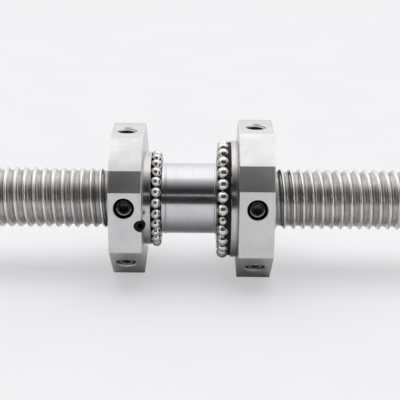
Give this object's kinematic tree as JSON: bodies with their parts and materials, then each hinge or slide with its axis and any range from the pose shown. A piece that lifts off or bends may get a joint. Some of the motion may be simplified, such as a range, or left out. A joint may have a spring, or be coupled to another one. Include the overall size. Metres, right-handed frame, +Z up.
{
  "type": "ball screw assembly",
  "caption": "Ball screw with a rotating ball nut that turns on two exposed support ball rows between two octagonal bearing housings with radial set screws.",
  "frame": {"origin": "on the screw axis, at the middle of the nut's plain sleeve between the two ball rows", "axes": "+X along the screw towards the larger housing, +Z up with the housings standing on a flat, -Y the front that the tilted set screw faces"},
  "size_m": [0.16, 0.038, 0.04],
  "materials": {
    "screw_steel": "ground and polished, bright",
    "nut_steel": "ground, with fine turning lines",
    "race_steel": "ground satin",
    "housing": "milled and bead-blasted, clear anodised",
    "ball_steel": "mirror polished bearing steel",
    "set_screw": "dark oiled steel",
    "black_screw": "black oxide",
    "spring_steel": "phosphated spring steel",
    "wiper": "matt nitrile rubber",
    "cage": "dark moulded nylon",
    "pad_brass": "turned brass",
    "deflector": "sintered bronze"
  },
  "bodies": {
    "left_unit": {"left_housing": "housing", "left_race_cup": "race_steel", "left_wiper": "wiper", "left_wiper_circlip": "spring_steel", "left_set_screw_pads": "pad_brass", "left_set_screw_1": "set_screw", "left_set_screw_2": "set_screw", "left_set_screw_3": "set_screw", "left_set_screw_4": "set_screw", "left_set_screw_5": "set_screw", "left_set_screw_6": "set_screw", "left_lock_screw": "black_screw"},
    "nut": {"nut_body": "nut_steel", "left_deflector": "deflector", "right_deflector": "deflector", "left_track_balls": "ball_steel", "right_track_balls": "ball_steel", "left_snap_ring": "spring_steel", "right_snap_ring": "spring_steel"},
    "screw": {"screw_shaft": "screw_steel"},
    "left_ball_row": {"left_support_balls": "ball_steel"},
    "right_ball_row": {"right_support_balls": "ball_steel", "right_spacer_ball": "ball_steel", "right_ball_cage": "cage"},
    "right_unit": {"right_housing": "housing", "right_race_cup": "race_steel", "right_wiper": "wiper", "right_wiper_circlip": "spring_steel", "right_set_screw_pads": "pad_brass", "right_set_screw_1": "set_screw", "right_set_screw_2": "set_screw", "right_set_screw_3": "set_screw", "right_set_screw_4": "set_screw", "right_set_screw_5": "set_screw", "right_set_screw_6": "set_screw"}
  },
  "joints": [
    {"name": "screw_travel", "type": "slide", "parent": "left_unit", "child": "screw", "axis": [1, 0, 0], "range_m": [-0.04, 0.04]},
    {"name": "nut_spin", "type": "hinge", "parent": "left_unit", "child": "nut", "pos_m": [0, 0, 0], "axis": [1, 0, 0], "range_deg": [-5760, 5760]},
    {"name": "left_row_orbit", "type": "hinge", "parent": "left_unit", "child": "left_ball_row", "pos_m": [-0.0089, 0, 0], "axis": [1, 0, 0], "range_deg": [-2760, 2760]},
    {"name": "right_row_orbit", "type": "hinge", "parent": "left_unit", "child": "right_ball_row", "pos_m": [0.0085, 0, 0], "axis": [1, 0, 0], "range_deg": [-2760, 2760]},
    {"name": "right_unit_turn", "type": "hinge", "parent": "left_unit", "child": "right_unit", "pos_m": [0.017, 0, 0], "axis": [1, 0, 0], "continuous": true}
  ],
  "couplings": [
    {"joint": "nut_spin", "follows": "screw_travel", "rad_per_m": -2513.3},
    {"joint": "left_row_orbit", "follows": "screw_travel", "rad_per_m": -1201.3},
    {"joint": "right_row_orbit", "follows": "screw_travel", "rad_per_m": -1198.8}
  ]
}
